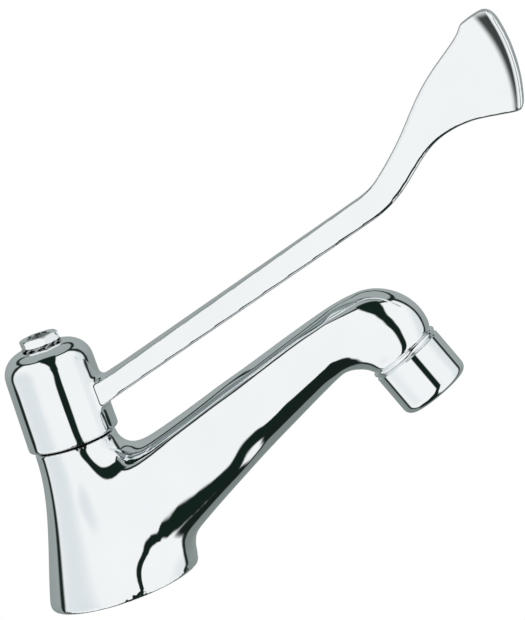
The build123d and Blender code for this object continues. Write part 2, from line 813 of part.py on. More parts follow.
def lip_solid():
    """The raised rim along the paddle's end, turned about the centre of the end's arc."""
    centre_x, centre_z = end_arc_centre()
    angle = radians(lip_hollow_angle)
    half = paddle_thickness / 2
    crest_out = end_arc_radius
    crest_y = lip_peak - lip_crest_radius
    crest_centre = crest_out - lip_crest_radius
    crest_start = (crest_centre - lip_crest_radius * sin(angle), crest_y + lip_crest_radius * cos(angle))
    hollow_centre = (crest_start[0] - lip_hollow_radius * sin(angle),
                     crest_start[1] + lip_hollow_radius * cos(angle))
    start = (hollow_centre[0], hollow_centre[1] - lip_hollow_radius)
    inner = start[0] - lip_hollow_radius
    middle_angle = angle / 2
    hollow_middle = (hollow_centre[0] + lip_hollow_radius * sin(middle_angle),
                     hollow_centre[1] - lip_hollow_radius * cos(middle_angle))
    crest_turn = (pi / 2 + angle) / 2 - angle
    crest_middle = (crest_centre + lip_crest_radius * sin(crest_turn),
                    crest_y + lip_crest_radius * cos(crest_turn))
    outline = [
        Line((inner, 0), (inner, start[1])),
        Line((inner, start[1]), start),
        ThreePointArc(start, hollow_middle, crest_start),
        ThreePointArc(crest_start, crest_middle, (crest_out, crest_y)),
        Line((crest_out, crest_y), (crest_out, 0)),
        Line((crest_out, 0), (inner, 0)),
    ]
    face = Plane.XY * make_face(Curve() + outline)
    upper = Pos(centre_x, 0, centre_z) * revolve(face, Axis.Y)
    lower = mirror(upper, Plane.XZ)
    return upper + lower


def lever():
    arm = arm_solid()
    tall = extrude(Plane.XZ * arm_outline(), 2 * lip_peak, both=True)
    front = Pos(paddle_flat_share * lever_reach, 0, seam_height) * Box(
        lever_reach, 4 * lip_peak, 2 * lever_rise, align=(Align.MIN, Align.CENTER, Align.MIN))
    end_rim = lip_solid() & tall & front
    handle = hub_solid() + arm
    root_edges = [edge for edge in handle.edges()
                  if hub_rim_radius / 3 < edge.center().X < hub_rim_radius + overrun
                  and seam_height + 2 * hub_rim_round < edge.center().Z < hub_top - hub_rim_round
                  and edge.geom_type != GeomType.CIRCLE
                  and edge.length < lever_rise]
    handle = fillet(root_edges, hub_blend_radius)
    handle += end_rim
    cavity = rod(hub_cavity_radius, seam_height - overrun, cavity_ceiling - seam_height + overrun)
    boss = rod(hub_boss_radius, spline_bottom, cavity_ceiling - spline_bottom + edge_round)
    handle = handle - cavity + boss
    handle -= splined_rod(spline_tip_radius + running_clearance, spline_root_radius + running_clearance,
                          spline_bottom - overrun, spline_top - spline_bottom + overrun + seat_clearance)
    handle -= rod(stud_radius + stud_hole_clearance, spline_top - edge_round,
                  hub_top - spline_top + overrun)
    return handle


def lever_nut():
    corner = nut_across_flats / sqrt(3)
    prism = Rot(0, 0, nut_turn) * hexagon(nut_across_flats, nut_level, nut_height)
    trim = turned_from_points([
        (0, nut_level), (corner - nut_corner_chamfer, nut_level),
        (corner, nut_level + nut_corner_chamfer * groove_depth_share),
        (corner, nut_top - nut_corner_chamfer * groove_depth_share),
        (corner - nut_corner_chamfer, nut_top), (0, nut_top)])
    bore_radius = stud_radius + running_clearance
    bore = turned_from_points([
        (0, nut_level - overrun), (bore_radius, nut_level - overrun),
        (bore_radius, nut_top - nut_bore_chamfer),
        (bore_radius + nut_bore_chamfer + overrun, nut_top + overrun), (0, nut_top + overrun)])
    return (prism & trim) - bore


def toothed_washer():
    """Lock washer: a thin ring with outer teeth twisted out of its plane."""
    inner = stud_radius + stud_hole_clearance
    low = washer_level + (washer_height - washer_ring_height) / 2
    washer = ring(washer_ring_radius, inner, low, washer_ring_height)
    width = 2 * pi * washer_outer_radius / washer_tooth_count * washer_tooth_share
    length = washer_outer_radius - washer_ring_radius + edge_round
    tooth = Box(length, width, washer_ring_height, align=(Align.MIN, Align.CENTER, Align.CENTER))
    for i in range(washer_tooth_count):
        place = Rot(0, 0, 360 * i / washer_tooth_count) * Pos(washer_ring_radius - edge_round, 0,
                                                              washer_level + washer_height / 2)
        washer += place * Rot(washer_tooth_twist, 0, 0) * tooth
    slab = rod(washer_outer_radius + overrun, washer_level + seat_clearance,
               washer_height - 2 * seat_clearance)
    return washer & slab


pieces = {
    "body_casting": body_casting,
    "base_gasket": base_gasket,
    "inlet_tail": inlet_tail,
    "tail_seal": tail_seal,
    "deck_washer": deck_washer,
    "deck_plate": deck_plate,
    "back_nut": back_nut,
    "aerator_housing": aerator_housing,
    "aerator_seal": aerator_seal,
    "aerator_strainer": aerator_strainer,
    "aerator_jet_plate": aerator_jet_plate,
    "aerator_cup": aerator_cup,
    "headpart_bonnet": headpart_bonnet,
    "bonnet_seal": bonnet_seal,
    "seat_seal": seat_seal,
    "fixed_disc": fixed_disc,
    "moving_disc": moving_disc,
    "slide_ring": slide_ring,
    "spindle": spindle,
    "spindle_o_ring_lower": lambda: o_ring(seal_groove_levels()[0]),
    "spindle_o_ring_upper": lambda: o_ring(seal_groove_levels()[1]),
    "spindle_clip": spindle_clip,
    "lever": lever,
    "toothed_washer": toothed_washer,
    "lever_nut": lever_nut,
}

os.makedirs("parts", exist_ok=True)
for name, make in pieces.items():
    solid = make()
    export_step(solid, "parts/" + name + ".step")
    print(name, round(solid.volume, 1), solid.is_valid)
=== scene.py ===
# %% [markdown]
# Elbow lever tap: looks, studio and view.
# The real object is a chromed pillar tap whose long lever can be worked with the forearm. Its
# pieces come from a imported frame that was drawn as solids, and they stay where the frame has
# them. The cells below give them their finishes, draw fine skins over the two castings, and set
# up the view, the studio and the worktop of the picture. The pieces could also be modelled again
# here by hand, but then drawing and picture would drift apart.

# %% Load the frame
import json
import math
import bmesh
import bpy
import numpy as np
from mathutils import Matrix, Vector


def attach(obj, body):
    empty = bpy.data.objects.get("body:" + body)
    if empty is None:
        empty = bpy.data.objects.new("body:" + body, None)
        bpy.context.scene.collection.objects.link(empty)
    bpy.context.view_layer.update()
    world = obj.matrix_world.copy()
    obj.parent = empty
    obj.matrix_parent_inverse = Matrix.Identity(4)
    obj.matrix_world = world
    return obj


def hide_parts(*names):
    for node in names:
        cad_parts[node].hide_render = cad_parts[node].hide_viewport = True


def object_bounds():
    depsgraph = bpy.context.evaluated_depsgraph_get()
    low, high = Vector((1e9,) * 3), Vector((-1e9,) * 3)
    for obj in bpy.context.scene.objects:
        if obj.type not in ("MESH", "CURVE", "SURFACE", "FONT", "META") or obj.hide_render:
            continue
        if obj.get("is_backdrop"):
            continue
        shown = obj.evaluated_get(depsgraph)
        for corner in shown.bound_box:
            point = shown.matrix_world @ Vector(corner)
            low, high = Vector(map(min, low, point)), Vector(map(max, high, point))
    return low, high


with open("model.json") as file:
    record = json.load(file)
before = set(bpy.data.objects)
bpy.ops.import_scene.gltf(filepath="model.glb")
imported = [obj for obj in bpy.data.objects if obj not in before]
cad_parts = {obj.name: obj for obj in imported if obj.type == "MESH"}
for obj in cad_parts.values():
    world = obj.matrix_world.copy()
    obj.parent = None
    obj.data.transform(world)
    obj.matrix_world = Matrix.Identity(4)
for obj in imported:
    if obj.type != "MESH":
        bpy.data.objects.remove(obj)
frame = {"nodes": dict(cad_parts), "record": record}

size_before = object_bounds()

# %% [markdown]
# A shader is a small net of nodes, and many of them do sums. They could be placed one by one,
# but then the sums are hard to read. The class below wraps a socket that carries a number, so
# that + - and * on it add the Math nodes, and each finish further down reads as arithmetic.

# %% Shader arithmetic
class Value:
    """A socket that carries a number and takes part in arithmetic."""

    def __init__(self, tree, socket):
        self.tree = tree
        self.socket = socket

    def math(self, operation, *others):
        terms = dict(enumerate((self, *others)))
        return Value(self.tree, self.tree.node("Math", {"operation": operation}, terms).outputs[0])

    def __add__(self, other):
        return self.math("ADD", other)

    def __sub__(self, other):
        return self.math("SUBTRACT", other)

    def __mul__(self, other):
        return self.math("MULTIPLY", other)

    def __rsub__(self, other):
        return self.math("MULTIPLY", -1.0).math("ADD", other)

    __radd__ = __add__
    __rmul__ = __mul__

    def step(self, low, high):
        """0 below low, 1 above high, with a smooth rise between."""
        limits = {"Value": self, "From Min": low, "From Max": high}
        made = self.tree.node("MapRange", {"interpolation_type": "SMOOTHSTEP"}, limits)
        return Value(self.tree, made.outputs["Result"])

print("a Value can be added, subtracted, multiplied and stepped")

# %% [markdown]
# Every node comes from one method, which takes the node's type, then its settings, and last the
# values or links of its sockets. Settings go first, because some of them change which sockets a
# node has. Colours and vectors have nodes of their own, since a Math node turns a colour grey.

# %% Node making
# The Mix node has sockets for each kind of data. These are the places of those for colours.
mix_factor, mix_first, mix_second, mix_result = 0, 6, 7, 2


class Tree:
    """Makes the nodes of one material or world."""

    def __init__(self, owner):
        owner.use_nodes = True
        self.nodes = owner.node_tree.nodes
        self.links = owner.node_tree.links
        self.nodes.clear()

    def node(self, kind, settings=None, inputs=None):
        """A node of a type, its settings, and the values or links of its sockets."""
        made = self.nodes.new("ShaderNode" + kind)
        for name, setting in (settings or {}).items():
            setattr(made, name, setting)
        for place, given in (inputs or {}).items():
            socket = made.inputs[place]
            if isinstance(given, Value):
                self.links.new(given.socket, socket)
            elif isinstance(given, bpy.types.NodeSocket):
                self.links.new(given, socket)
            else:
                socket.default_value = given
        return made

    def dot(self, vector, direction):
        """How far a vector reaches along a direction."""
        made = self.node("VectorMath", {"operation": "DOT_PRODUCT"}, {0: vector, 1: direction})
        return Value(self, made.outputs["Value"])

    def mix(self, factor, first, second):
        """A colour between two colours."""
        colours = {mix_factor: factor, mix_first: first, mix_second: second}
        return self.node("Mix", {"data_type": "RGBA"}, colours).outputs[mix_result]

    def place(self):
        """Where a point of the surface lies on the object's own axes, in metres."""
        return self.node("TexCoord").outputs["Object"]

    def noise(self, scale, detail=2.0, stretch=(1, 1, 1)):
        """Cloudy noise from 0 to 1, with about as many clouds to the metre as the scale says."""
        squeezed = self.node("VectorMath", {"operation": "MULTIPLY"}, {0: self.place(), 1: stretch})
        sockets = {"Vector": squeezed.outputs[0], "Scale": scale, "Detail": detail}
        return Value(self, self.node("TexNoise", inputs=sockets).outputs["Fac"])

    def bump(self, height, strength, distance):
        """The surface's normal, tilted as if the height were really there."""
        relief = {"Strength": strength, "Distance": distance, "Height": height}
        return self.node("Bump", inputs=relief).outputs["Normal"]

print("the Mix node's colours are sockets", mix_first, "and", mix_second)

# %% [markdown]
# Colours below are written as a screen shows them, from 0 to 255. Shaders reckon in amounts of
# light, so the screen's curve is taken off first. A picker in Blender does the same.

# %% Colours
def light_amount(shade):
    """One display value, 0 to 255, as an amount of light from 0 to 1."""
    # These are the numbers of the curve that most screens keep to. Its darkest part is straight.
    share = shade / 255
    if shade <= 10:
        return share / 12.92
    return ((share + 0.055) / 1.055) ** 2.4


def srgb(red, green, blue):
    """A solid colour for a shader, from its three display values."""
    return (light_amount(red), light_amount(green), light_amount(blue), 1.0)

print("middle grey is", round(light_amount(128), 3), "of full light")

# %% [markdown]
# Polished chrome. Foot and spout, lever, lever nut and aerator housing are ground, buffed and
# plated, and end as a mirror that is almost perfect. One glossy shader of one colour would do
# for that, but its reflections are so straight that the metal looks drawn. Here noise gives a
# faint haze, where hands and cloths have been, and a Bump node gives the slow waves of a buffed
# casting, which bend the reflections a little.

# %% Polished chrome
mm = 0.001
haze_scale, haze_detail = 55.0, 4.0
wave_scale, wave_detail = 38.0, 1.0
grain_scale, grain_share = 1400.0, 0.02
chrome_dim, chrome_bright = srgb(236, 240, 242), srgb(245, 247, 248)
chrome_relief = {"strength": 0.06, "distance": 0.4 * mm}
haze_start, haze_full = 0.35, 0.9
bare_rough, haze_rough = 0.018, 0.03


def new_material(name):
    material = bpy.data.materials.new(name)
    return material, Tree(material)


def cover(tree, shader):
    """Hand a shader to the material's output."""
    tree.node("OutputMaterial", inputs={"Surface": shader.outputs[0]})


def cover_metal(tree, colour, rough, normal):
    """Hand bare metal to the material's output."""
    surface = {"Base Color": colour, "Metallic": 1.0, "Roughness": rough, "Normal": normal}
    cover(tree, tree.node("BsdfPrincipled", inputs=surface))


def chrome_finish(tree):
    """The colour, roughness and normal of buffed and plated metal."""
    haze = tree.noise(haze_scale, haze_detail)
    height = tree.noise(wave_scale, wave_detail) + tree.noise(grain_scale) * grain_share
    colour = tree.mix(haze, chrome_dim, chrome_bright)
    rough = haze.step(haze_start, haze_full) * haze_rough + bare_rough
    return colour, rough, tree.bump(height, **chrome_relief)


def chrome(name):
    material, tree = new_material(name)
    cover_metal(tree, *chrome_finish(tree))
    return material


chrome_material = chrome("polished chrome")
print(chrome_material.name, "with", len(chrome_material.node_tree.nodes), "nodes")

# %% [markdown]
# Turned metals. The headpart, the spindle and the tail are turned from brass bar, and the
# washers and the clip are plated steel. A lathe leaves fine rings square to the axis. A Wave
# texture draws rings too, but they repeat too evenly. So noise is squeezed sixty times along
# the axis, which gives rings of uneven width.

# %% Turned brass and plated steel
ring_scale, ring_detail, ring_squeeze = 90.0, 3.0, (1, 1, 60)
stain_scale, stain_detail = 60.0, 4.0
ring_relief = {"strength": 0.15, "distance": 0.2 * mm}


def between(value, low, high):
    """A value from 0 to 1 spread over the range from low to high."""
    return value * (high - low) + low


def turned_metal(name, dark, light, rough_range):
    """Metal with fine rings from the lathe, square to the tap's axis."""
    material, tree = new_material(name)
    rings = tree.noise(ring_scale, ring_detail, ring_squeeze)
    colour = tree.mix(tree.noise(stain_scale, stain_detail), dark, light)
    cover_metal(tree, colour, between(rings, *rough_range), tree.bump(rings, **ring_relief))
    return material


steel_material = turned_metal("plated steel", srgb(120, 126, 126), srgb(190, 194, 192), (0.16, 0.34))
brass_material = turned_metal("turned brass", srgb(168, 132, 72), srgb(214, 182, 112), (0.18, 0.36))
print("turned metals", steel_material.name, "and", brass_material.name)

# %% [markdown]
# The spindle's end. The threaded end of the spindle sits deep in the nut's bore, in shade, and
# looks dark there. What makes it dark can't be seen, and grease from the fitting is a guess. A
# sleeve of dark geometry could stand for that shade, but it would be a piece that the tap
# doesn't have. So a mask by height paints shade into the brass of the last few millimetres,
# which turns dark and dull.

# %% Spindle brass
# Where the painted shade of the nut's bore begins on the spindle, and how soft its edge is.
painted_shade_start = 84 * mm
painted_shade_edge = 0.6 * mm
spindle_rough = (0.3, 0.45)
upward = (0, 0, 1)


def brass_with_painted_shade(name):
    """Turned brass, with painted shade: a dark dull end above a height."""
    material, tree = new_material(name)
    stain = tree.noise(stain_scale, stain_detail)
    painted_shade_share = tree.dot(tree.place(), upward).step(painted_shade_start, painted_shade_start + painted_shade_edge)
    brass = tree.mix(stain, srgb(184, 146, 84), srgb(206, 170, 104))
    # This dark, dull colour is painted shade from the nut's bore.
    painted_shade_colour = tree.mix(stain, srgb(26, 34, 31), srgb(44, 54, 50))
    surface = {"Base Color": tree.mix(painted_shade_share, brass, painted_shade_colour), "Metallic": 1.0 - painted_shade_share,
               "Roughness": between(stain, *spindle_rough)}
    cover(tree, tree.node("BsdfPrincipled", inputs=surface))
    return material


spindle_material = brass_with_painted_shade("spindle brass")
print(spindle_material.name, "is dark above", round(painted_shade_start / mm), "mm")

# %% [markdown]
# Lever chrome. Beside the raised rim of the paddle the real lever shows a dark band: the hollow
# there seems to mirror something dark in the room. The hollow built here mirrors the paddle's
# own bright face instead, and a darker room is likely to darken the rest of the lever too. So
# the band is painted into the colour, as a painted reflection. A mask measures how far a point
# lies in from the arc of the rim, and lets the dark colour through in the hollow alone.

# %% Lever chrome
# The arc of the paddle's end, seen from the side: reach and height of its centre, and radius.
rim_centre = (123.3 * mm, 129.345 * mm)
rim_radius = 54 * mm
# Where the band of painted reflection starts and ends, each as a soft edge from one value to another.
band_rim_edge = (1.65 * mm, 2.2 * mm)
band_inner_edge = (1.7 * mm, 4 * mm)
band_reach_edge = (142 * mm, 146 * mm)
band_top_edge = (144.5 * mm, 147.5 * mm)
# The band's inner edge leans: it lies further in, the higher a point is above this height.
band_lean, band_lean_height = 0.09, 115 * mm
# The painted reflection: how much of the dark band shows, and its colour.
painted_reflection_share, painted_reflection_colour = 0.95, srgb(24, 33, 29)


def painted_reflection_band(tree):
    """Mask of the painted reflection: 1 in the hollow beside the paddle's rim, 0 elsewhere."""
    place = tree.place()
    from_centre = tree.node("VectorMath", {"operation": "MULTIPLY_ADD"}, {
        0: place, 1: (1, 0, 1), 2: (-rim_centre[0], 0, -rim_centre[1])})
    away = tree.node("VectorMath", {"operation": "LENGTH"}, {0: from_centre.outputs[0]})
    inward = rim_radius - Value(tree, away.outputs["Value"])
    height = tree.dot(place, upward)
    leaning = inward - (height - band_lean_height) * band_lean
    band = inward.step(*band_rim_edge) * (1.0 - leaning.step(*band_inner_edge))
    reach = tree.dot(place, (1, 0, 0))
    return band * reach.step(*band_reach_edge) * (1.0 - height.step(*band_top_edge))


def chrome_with_painted_reflection(name):
    """Chrome with a painted reflection: the dark band beside the paddle's rim."""
    material, tree = new_material(name)
    bright, rough, normal = chrome_finish(tree)
    # The dark band mixed into the chrome's colour is a painted reflection.
    colour = tree.mix(painted_reflection_band(tree) * painted_reflection_share, bright, painted_reflection_colour)
    cover_metal(tree, colour, rough, normal)
    return material


lever_material = chrome_with_painted_reflection("lever chrome")
print(lever_material.name, "with", len(lever_material.node_tree.nodes), "nodes")

# %% [markdown]
# Rubber, plastic and ceramic. The seals are pressed from black rubber, the pieces of the
# aerator are moulded plastic, and the two discs of the valve are fired ceramic, ground flat.
# They differ in colour, gloss and grain, and all have fine pores. Four materials could be made
# one by one. One function with these as its arguments is shorter and keeps them alike.

# %% Rubber, plastic and ceramic
cloud_scale, cloud_detail = 70.0, 3.0
pore_strength = 0.3


def moulded(name, dark, light, rough_range, pore_scale, pore_depth):
    """A pressed, moulded or fired piece, with slow clouds of colour and fine pores."""
    material, tree = new_material(name)
    pores = tree.noise(pore_scale)
    surface = {"Base Color": tree.mix(tree.noise(cloud_scale, cloud_detail), dark, light),
               "Roughness": between(pores, *rough_range),
               "Normal": tree.bump(pores, pore_strength, pore_depth)}
    cover(tree, tree.node("BsdfPrincipled", inputs=surface))
    return material


rubber_material = moulded("black rubber", srgb(20, 21, 22), srgb(38, 39, 40),
                          (0.55, 0.85), 2600.0, 0.08 * mm)
grey_plastic_material = moulded("grey plastic", srgb(172, 176, 180), srgb(196, 200, 203),
                                (0.35, 0.55), 1800.0, 0.04 * mm)
white_plastic_material = moulded("white plastic", srgb(222, 222, 216), srgb(238, 238, 233),
                                 (0.3, 0.5), 1800.0, 0.04 * mm)
ceramic_material = moulded("white ceramic", srgb(234, 231, 222), srgb(244, 242, 236),
                           (0.08, 0.2), 3200.0, 0.02 * mm)
print("moulded", rubber_material.name, "to", ceramic_material.name)

# %% [markdown]
# Dressing. The frame's record names a finish for each node, so a loop can dress them all, and
# no node is forgotten when one is added. Only the spindle gets a finish of its own.
# The pieces below the foot get one more setting. A real worktop hides them from the chrome
# above it, but the worktop of this scene isn't mirrored, and the foot would show their brass.
# So they are made invisible to glossy rays. The camera still sees them, in a view from below.

# %% Dress the frame
material_of_slot = {
    "chrome": chrome_material,
    "plated_steel": steel_material,
    "raw_brass": brass_material,
    "black_rubber": rubber_material,
    "grey_plastic": grey_plastic_material,
    "white_plastic": white_plastic_material,
    "white_ceramic": ceramic_material,
}
for part in frame["record"]["subparts"]:
    node = frame["nodes"][part["node"]]
    node.material_slots[0].material = material_of_slot[part["material_slot"]]
# The spindle's finish paints shade into its end, in the nut's bore.
frame["nodes"]["spindle"].material_slots[0].material = spindle_material

below_foot = ("base_gasket", "inlet_tail", "tail_seal", "deck_washer", "deck_plate", "back_nut")
for name in below_foot:
    frame["nodes"][name].visible_glossy = False

# %% [markdown]
# Fine skins. A mirror shows every facet, and the solids come in large flat faces with sharp
# edges. On the real castings, grinding and buffing round every edge before the plating. A Bevel
# modifier could round the edges, but it needs clean edges to work on. So each casting gets a
# skin: a copy that a Remesh modifier rebuilds in small even faces. Moving each point a little
# towards the mean of its neighbours then rounds the edges, as buffing does.

# %% Fine skin of a casting
def fine_skin(node, name, face_size):
    """A copy of a node of the frame in small even faces."""
    skin = bpy.data.objects.new(name, frame["nodes"][node].data.copy())
    bpy.context.scene.collection.objects.link(skin)
    remesh = skin.modifiers.new("even faces", "REMESH")
    remesh.mode = "VOXEL"
    remesh.voxel_size = face_size
    evaluated = skin.evaluated_get(bpy.context.evaluated_depsgraph_get())
    mesh = bpy.data.meshes.new_from_object(evaluated)
    skin.modifiers.clear()
    skin.data = mesh
    mesh.shade_smooth()
    mesh.materials.clear()
    mesh.materials.append(chrome_material)
    print(name, "has", len(mesh.polygons), "faces of", round(face_size / mm, 2), "mm")
    return skin


def points_of(mesh):
    points = np.empty(len(mesh.vertices) * 3)
    mesh.vertices.foreach_get("co", points)
    return points.reshape(-1, 3)


def set_points(mesh, points):
    mesh.vertices.foreach_set("co", points.ravel())
    mesh.update()


body_skin = fine_skin("body_casting", "body_skin", 0.65 * mm)

# %% Smoothing
# How far a point moves towards the mean in one round. At 1 a point can swing to and fro.
soften_pull = 0.5
first_rounds = 5


def soften(mesh, points, rounds, share):
    """Move each point towards the mean of its neighbours, by its share, some rounds over."""
    pairs = np.empty(len(mesh.edges) * 2, dtype=np.int64)
    mesh.edges.foreach_get("vertices", pairs)
    first, last = pairs[0::2], pairs[1::2]
    count = np.bincount(pairs, minlength=len(points))
    for _ in range(rounds):
        for axis in range(3):
            values = points[:, axis]
            total = np.bincount(first, values[last], len(points))
            total += np.bincount(last, values[first], len(points))
            values += (total / count - values) * soften_pull * share


def rise(values, low, high):
    """0 below low, 1 above high, with a smooth rise between."""
    share = np.clip((values - low) / (high - low), 0, 1)
    return share * share * (3 - 2 * share)


body_points = points_of(body_skin.data)
soften(body_skin.data, body_points, first_rounds, 1.0)
set_points(body_skin.data, body_points)
print("body skin softened,", len(body_points), "points")

# %% [markdown]
# The root of the spout. On the real casting the spout's flanks run out of the column without a
# crease, while the solids meet in a valley. Sculpting by hand could fill it, but a stroke can't
# be written down as numbers. So the form is described by distances: one to the turned column,
# one to a row of ovals along the spout, and one to a flat flank between them. They are joined,
# and the skin's points move to where the joined distance is zero.
# The column comes first. Its radius over its height is read from the back of the skin, where
# no spout is in the way, and kept as one smooth curve.

# %% The column's curve
column_degree = 6
column_foot, column_head = 2.5 * mm, 50 * mm
column_back = -3 * mm


def fit_column(points):
    """The column's radius over its height as one smooth curve."""
    back = points[points[:, 0] < column_back]
    radius = np.hypot(back[:, 0], back[:, 1])
    levels = np.arange(column_foot, column_head, mm)
    radii = [radius[np.abs(back[:, 2] - level) < mm / 2].max() for level in levels]
    return np.polyfit(levels, radii, column_degree)


def column_distance(points):
    """How far points lie outside the column."""
    return np.hypot(points[:, 0], points[:, 1]) - np.polyval(column_curve, points[:, 2])


column_curve = fit_column(body_points)
column_radii = np.polyval(column_curve, np.arange(1, 52, 5) * mm)
print("column radii from 1 mm up, every 5 mm", np.round(column_radii / mm, 2))

# %% [markdown]
# The spout is a row of ovals. A few measured ones are enough, since a smooth curve through each
# column of the table gives the rows between them. The spout is nearly an ellipse at its end and
# fuller at its root, so each oval also says how full it is: 2 is an ellipse, and more comes
# nearer to a rounded rectangle.

# %% The spout's ovals
# In millimetres: reach and height of the top, reach and height of the under side, half width.
spout_ovals = np.array((
    (-8.0, 43.5, 13.0, -1.0, 16.0),
    (2.0, 43.0, 20.3, 4.3, 17.0),
    (12.0, 42.2, 27.7, 9.6, 16.6),
    (23.1, 45.3, 36.2, 15.6, 15.4),
    (44.9, 52.8, 56.2, 27.5, 13.4),
    (62.0, 58.8, 72.0, 36.3, 12.2),
    (76.1, 63.8, 85.0, 43.5, 11.5),
)) * mm
spout_fullness = np.array((2.0, 2.6, 3.1, 3.1, 2.6, 2.2, 2.0))
oval_degree = 4
oval_step = 0.1


def fine_ovals():
    """The table of ovals in fine rows, each column drawn as one smooth curve."""
    given = np.column_stack((spout_ovals, spout_fullness))
    curves = np.polyfit(np.arange(len(given)), given, oval_degree)
    places = np.arange(0, len(given) - 1 + oval_step / 2, oval_step)
    return np.vander(places, len(curves)) @ curves


ovals = fine_ovals()
print("ovals", len(spout_ovals), "given,", len(ovals), "drawn")

# %% [markdown]
# A point finds the two ovals that it lies between, and the oval there is a mix of the two. How
# much that oval has to grow to reach the point, divided by how fast growing moves its edge, is
# nearly the distance. It could be found exactly by a search along the oval, which is slow for
# so many points.

# %% Distance to the spout
least_ratio = 1e-3


def spout_distance(points):
    """Roughly how far points lie outside the row of ovals."""
    top, under = ovals[:, 0:2], ovals[:, 2:4]
    half_width, fullness = ovals[:, 4], ovals[:, 5]
    middle = (top + under) / 2
    half_height = np.linalg.norm(top - under, axis=1) / 2
    up_run = (top - under) / (2 * half_height[:, None])
    along = np.stack((up_run[:, 1], -up_run[:, 0]), axis=1)
    flat = points[:, (0, 2)]
    passed = ((flat[:, None, :] - middle) * along).sum(2)
    place = np.clip((passed > 0).sum(1) - 1, 0, len(ovals) - 2)
    rows = np.arange(len(points))
    here, there = passed[rows, place], passed[rows, place + 1]
    share = np.clip(here / (here - there), 0, 1)

    def at_points(values):
        low, high = values[place], values[place + 1]
        return low + (high - low) * (share if values.ndim == 1 else share[:, None])

    offset = ((flat - at_points(middle)) * at_points(up_run)).sum(1)
    tall, wide, power = at_points(half_height), at_points(half_width), at_points(fullness)
    up_share, side_share = np.abs(offset) / tall, np.abs(points[:, 1]) / wide
    ratio = np.maximum((up_share ** power + side_share ** power) ** (1 / power), least_ratio)
    up_slope = (up_share / ratio) ** (power - 1) / tall
    side_slope = (side_share / ratio) ** (power - 1) / wide
    return np.maximum((ratio - 1) / np.hypot(up_slope, side_slope), -passed[:, 0])

tried_point = np.array(((40 * mm, 30 * mm, 40 * mm),))
print("a point 30 mm to the side is", round(spout_distance(tried_point)[0] / mm, 1), "mm off the spout")

# %% [markdown]
# The flank. The picture's reflections suggest that the real casting runs nearly straight from
# the column to the spout, like a belt that leaves a wheel. So the flank is the column's own
# tangent, leaning inwards. A table says how far out it goes at each height. Soft minimums round
# its corners, where a hard minimum would leave a crease that the chrome shows as a dark line.

# %% The flat flank
flank_heights = np.array((-2.0, 0.8, 8.7, 12.6, 15.9, 18.0, 21.2, 26.0, 32.0)) * mm
flank_reaches = np.array((10.8, 11.2, 13.2, 15.8, 19.4, 23.2, 30.5, 42.0, 56.0)) * mm
flank_degree = 4
# Half the width that the flank runs to, how far out that is, and the most that it leans.
flank_half, flank_station, flank_lean = 13.2 * mm, 45 * mm, math.radians(12)
flank_corner = 4 * mm
flank_top, flank_top_corner = 36 * mm, 12 * mm
# How deep the flank sinks under the spout, and over which reach it does so.
flank_sink, flank_sinking = 6 * mm, (20 * mm, 50 * mm)
# The flank's end slopes, so a step along the reach is less than a step away from the end.
flank_end_slope = 0.75


def soft_min(first, last, width):
    """The smaller of two distances, rounded where they differ by less than the width."""
    near = np.clip(1 - np.abs(first - last) / width, 0, 1)
    return np.minimum(first, last) - near ** 2 * width / 4


def flank_reach(heights):
    """How far out the flank goes at each height."""
    limited = np.clip(heights, flank_heights[0], flank_heights[-1])
    return np.polyval(np.polyfit(flank_heights, flank_reaches, flank_degree), limited)


def flank_distance(points):
    """Distance to the flat flank, which leaves the column along its tangent."""
    x, y, z = points.T
    radius = np.polyval(column_curve, z)
    narrowing = np.clip((radius - flank_half) / flank_station, 0, math.sin(flank_lean))
    around = np.arctan2(x, np.abs(y))
    hull = np.hypot(x, y) * np.cos(np.maximum(around - np.arcsin(narrowing), 0)) - radius
    hull += flank_sink * rise(x, *flank_sinking)
    beyond = (x - flank_reach(z)) * flank_end_slope
    side = -soft_min(-hull, -beyond, flank_corner)
    return -soft_min(-side, flank_top - z, flank_top_corner)

print("flank at 20 mm height ends", round(flank_reach(20 * mm) / mm, 1), "mm out")

# %% [markdown]
# Joining. The soft minimum joins column, flank and spout, and its width sets how large the
# hollow between them is. The widths grow from almost nothing, so that the column's back and the
# flank's near part stay as they are. The slope of the joined distance says which way out is.
# It is measured by taking a tiny step along each axis, which saves working it out on paper.

# %% The joined shape
tiny_step = 0.05 * mm
blend_width, blend_run = 9 * mm, (-6 * mm, 6 * mm)
flank_corner_run = 5 * mm


def joined_distance(points):
    """Roughly how far points lie outside column, flank and spout as one shape."""
    x = points[:, 0]
    reach = flank_reach(points[:, 2])
    corner = flank_corner * rise(x, reach - flank_corner_run, reach) + tiny_step
    column = soft_min(column_distance(points), flank_distance(points), corner)
    width = blend_width * rise(x, *blend_run) + tiny_step
    return soft_min(column, spout_distance(points), width)


def joined_slope(points, distance):
    """How the joined distance changes along each axis."""
    changes = [joined_distance(points + tiny_step * axis) - distance for axis in np.eye(3)]
    return np.stack([change / tiny_step for change in changes], axis=1)

print("the same point is", round(joined_distance(tried_point)[0] / mm, 1), "mm off the joined shape")

# %% [markdown]
# Drawing the skin to the shape. Points on the outside move along the slope until the distance
# is zero. A Shrinkwrap modifier does this too, but it needs a second mesh to wrap onto. Points
# on inner walls stay, since their normals face the other way. Near the foot, the cap's seam and
# the spout's end the skin keeps the solid's form, because other pieces meet it there.

# %% Draw the body skin to the shape
# Where moving sets in or fades out: heights above the foot and under the seam, and the reach.
drawn_foot, drawn_seam = (1 * mm, 3 * mm), (47 * mm, 50 * mm)
seam_reach = 30 * mm
spout_end_fade = (50 * mm, 66 * mm)
# A point that lies deeper inside the shape than this is on an inner wall, whatever its normal.
deepest_fill = 8 * mm
# The least that an outer point's normal agrees with the way out, and the least slope to trust.
outward_least, slope_least = 0.2, 0.2
drawing_rounds = 8


def free_share(points, foot, seam):
    """1 where the skin may change, 0 at the foot, at the cap's seam and at the spout's end."""
    x, z = points[:, 0], points[:, 2]
    share = rise(z, *foot) * (1 - rise(z, *seam) * (x < seam_reach))
    return share * (1 - rise(x, *spout_end_fade))


